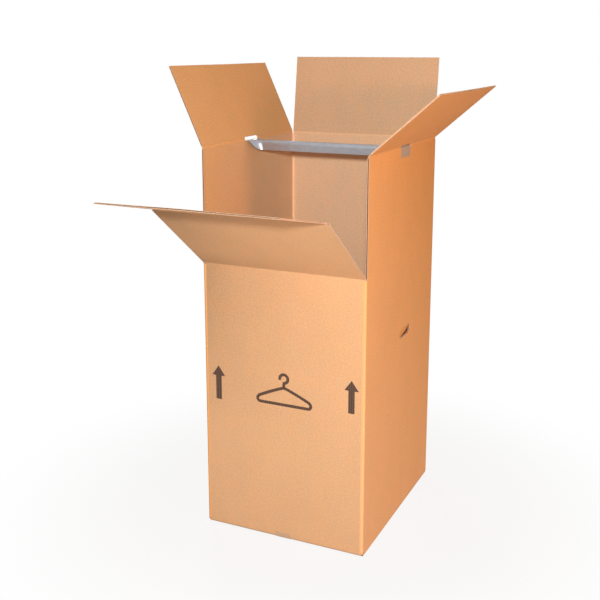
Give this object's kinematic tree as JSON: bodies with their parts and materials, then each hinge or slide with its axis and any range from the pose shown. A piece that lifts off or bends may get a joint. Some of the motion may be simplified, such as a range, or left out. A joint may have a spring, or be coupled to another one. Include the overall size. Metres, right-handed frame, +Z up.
{
  "type": "wardrobe moving box",
  "caption": "Tall corrugated wardrobe box with a fold-down front, hinged top flaps, hand holes and a steel hanger bar across the top.",
  "frame": {"origin": "centre of the box's base, on the floor, in the middle of the taped bottom seam", "axes": "+Z up, the drop front faces -Y, +X to the viewer's right when facing the front"},
  "size_m": [0.8122, 1.1682, 1.4241],
  "materials": {
    "kraft_board": "matte kraft",
    "bar_steel": "bare galvanised sheet",
    "tape": "satin brown film"
  },
  "bodies": {
    "box": {"carton": "kraft_board", "hanger_bar": "bar_steel", "bottom_tape": "tape"},
    "left_flap": {"left_top_flap": "kraft_board"},
    "right_flap": {"right_top_flap": "kraft_board"},
    "back_flap": {"back_top_flap": "kraft_board"},
    "drop_front": {"front_drop_panel": "kraft_board"},
    "front_flap": {"front_top_flap": "kraft_board"}
  },
  "joints": [
    {"name": "left_flap_fold", "type": "hinge", "parent": "box", "child": "left_flap", "pos_m": [-0.256, 0, 1.172], "axis": [0, -1, 0], "range_deg": [-114.5, 110.5]},
    {"name": "right_flap_fold", "type": "hinge", "parent": "box", "child": "right_flap", "pos_m": [0.256, 0, 1.172], "axis": [0, 1, 0], "range_deg": [-139, 86]},
    {"name": "back_flap_fold", "type": "hinge", "parent": "box", "child": "back_flap", "pos_m": [0, 0.307, 1.1677], "axis": [-1, 0, 0], "range_deg": [-97.5, 127.5]},
    {"name": "drop_front_fold", "type": "hinge", "parent": "box", "child": "drop_front", "pos_m": [0, -0.307, 0.834], "axis": [1, 0, 0], "range_deg": [-52.7, 82.3]},
    {"name": "front_flap_fold", "type": "hinge", "parent": "drop_front", "child": "front_flap", "pos_m": [0, -0.57245, 1.03622], "axis": [1, 0, 0], "range_deg": [-115.3, 74.7]}
  ]
}
